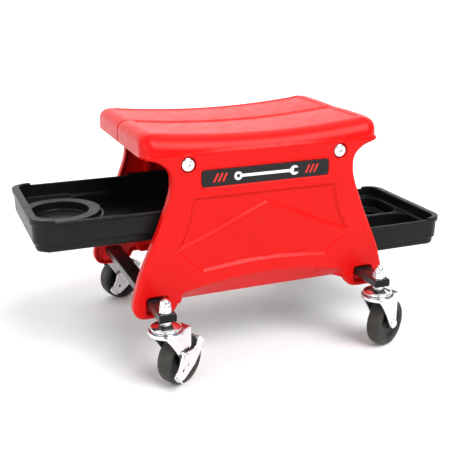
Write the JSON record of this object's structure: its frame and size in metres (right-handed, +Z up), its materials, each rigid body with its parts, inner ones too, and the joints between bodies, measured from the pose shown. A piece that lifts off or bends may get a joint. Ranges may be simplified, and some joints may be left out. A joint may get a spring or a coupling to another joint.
{
  "type": "rolling mechanic seat",
  "caption": "Rolling garage seat: saddle top on two moulded side shells, slide-out parts trays at two heights, and braked swivel casters.",
  "frame": {"origin": "on the floor, under the middle of the seat", "axes": "+X along the seat to the lower tray's open end, +Y to the back, +Z up"},
  "size_m": [0.6905, 0.4166, 0.3672],
  "materials": {
    "red_plastic": "smooth moulded polypropylene, satin gloss",
    "tray_plastic": "fine moulded grain, satin",
    "black_plastic": "moulded, matt",
    "bar_steel": "black enamel, semi-gloss",
    "name_plate": null,
    "hub_plastic": "moulded, matt",
    "tyre_rubber": "hard rubber, matt",
    "steel": "bright zinc plate",
    "zinc": "bright zinc plate"
  },
  "bodies": {
    "seat_frame": {"front_shell": "red_plastic", "rear_shell": "red_plastic", "front_seat_half": "red_plastic", "rear_seat_half": "red_plastic", "front_rail_posts": "red_plastic", "rear_rail_posts": "red_plastic", "cross_bar_left": "bar_steel", "cross_bar_right": "bar_steel", "bar_end_caps": "black_plastic", "bar_screws": "steel", "seat_tubes": "bar_steel", "seat_bolts": "steel", "front_plate": "name_plate", "rear_plate": "name_plate", "upper_tray_rails": "black_plastic", "lower_tray_rails": "black_plastic", "rail_screws": "steel", "acorn_nuts": "zinc", "stem_nuts": "zinc", "caster_balls": "steel", "stem_front_left": "zinc", "stem_front_right": "zinc", "stem_rear_left": "zinc", "stem_rear_right": "zinc"},
    "upper_tray": {"upper_tray": "tray_plastic", "upper_tray_end": "tray_plastic"},
    "lower_tray": {"lower_tray": "tray_plastic"},
    "swivel_front_left": {"fork_front_left": "zinc", "axle_front_left": "steel", "sleeve_front_left": "steel", "pivot_front_left": "steel"},
    "wheel_front_left": {"hub_front_left": "hub_plastic", "tyre_front_left": "tyre_rubber"},
    "brake_front_left": {"brake_front_left": "zinc"},
    "swivel_front_right": {"fork_front_right": "zinc", "axle_front_right": "steel", "sleeve_front_right": "steel"},
    "wheel_front_right": {"hub_front_right": "hub_plastic", "tyre_front_right": "tyre_rubber"},
    "swivel_rear_left": {"fork_rear_left": "zinc", "axle_rear_left": "steel", "sleeve_rear_left": "steel", "pivot_rear_left": "steel"},
    "wheel_rear_left": {"hub_rear_left": "hub_plastic", "tyre_rear_left": "tyre_rubber"},
    "brake_rear_left": {"brake_rear_left": "zinc"},
    "swivel_rear_right": {"fork_rear_right": "zinc", "axle_rear_right": "steel", "sleeve_rear_right": "steel"},
    "wheel_rear_right": {"hub_rear_right": "hub_plastic", "tyre_rear_right": "tyre_rubber"}
  },
  "joints": [
    {"name": "upper_tray_slide", "type": "slide", "parent": "seat_frame", "child": "upper_tray", "axis": [1, 0, 0], "range_m": [0, 0.161]},
    {"name": "lower_tray_slide", "type": "slide", "parent": "seat_frame", "child": "lower_tray", "axis": [-1, 0, 0], "range_m": [0, 0.134]},
    {"name": "swivel_front_left", "type": "hinge", "parent": "seat_frame", "child": "swivel_front_left", "pos_m": [-0.1757, -0.1765, 0.095], "axis": [0, 0, 1], "continuous": true},
    {"name": "wheel_front_left", "type": "hinge", "parent": "swivel_front_left", "child": "wheel_front_left", "pos_m": [-0.15145, -0.1625, 0.0381], "axis": [0.5, -0.866, 0], "continuous": true},
    {"name": "brake_front_left", "type": "hinge", "parent": "swivel_front_left", "child": "brake_front_left", "pos_m": [-0.15838, -0.1665, 0.0501], "axis": [0.5, -0.866, 0], "range_deg": [0, 14]},
    {"name": "swivel_front_right", "type": "hinge", "parent": "seat_frame", "child": "swivel_front_right", "pos_m": [0.1757, -0.1765, 0.095], "axis": [0, 0, 1], "continuous": true},
    {"name": "wheel_front_right", "type": "hinge", "parent": "swivel_front_right", "child": "wheel_front_right", "pos_m": [0.20076, -0.16401, 0.0381], "axis": [0.4462, -0.8949, 0], "continuous": true},
    {"name": "swivel_rear_left", "type": "hinge", "parent": "seat_frame", "child": "swivel_rear_left", "pos_m": [-0.1757, 0.1765, 0.095], "axis": [0, 0, 1], "continuous": true},
    {"name": "wheel_rear_left", "type": "hinge", "parent": "swivel_rear_left", "child": "wheel_rear_left", "pos_m": [-0.14885, 0.18445, 0.0381], "axis": [0.284, -0.9588, 0], "continuous": true},
    {"name": "brake_rear_left", "type": "hinge", "parent": "swivel_rear_left", "child": "brake_rear_left", "pos_m": [-0.15652, 0.18218, 0.0501], "axis": [0.284, -0.9588, 0], "range_deg": [0, 14]},
    {"name": "swivel_rear_right", "type": "hinge", "parent": "seat_frame", "child": "swivel_rear_right", "pos_m": [0.1757, 0.1765, 0.095], "axis": [0, 0, 1], "continuous": true},
    {"name": "wheel_rear_right", "type": "hinge", "parent": "swivel_rear_right", "child": "wheel_rear_right", "pos_m": [0.20184, 0.18653, 0.0381], "axis": [0.3584, -0.9336, 0], "continuous": true}
  ]
}
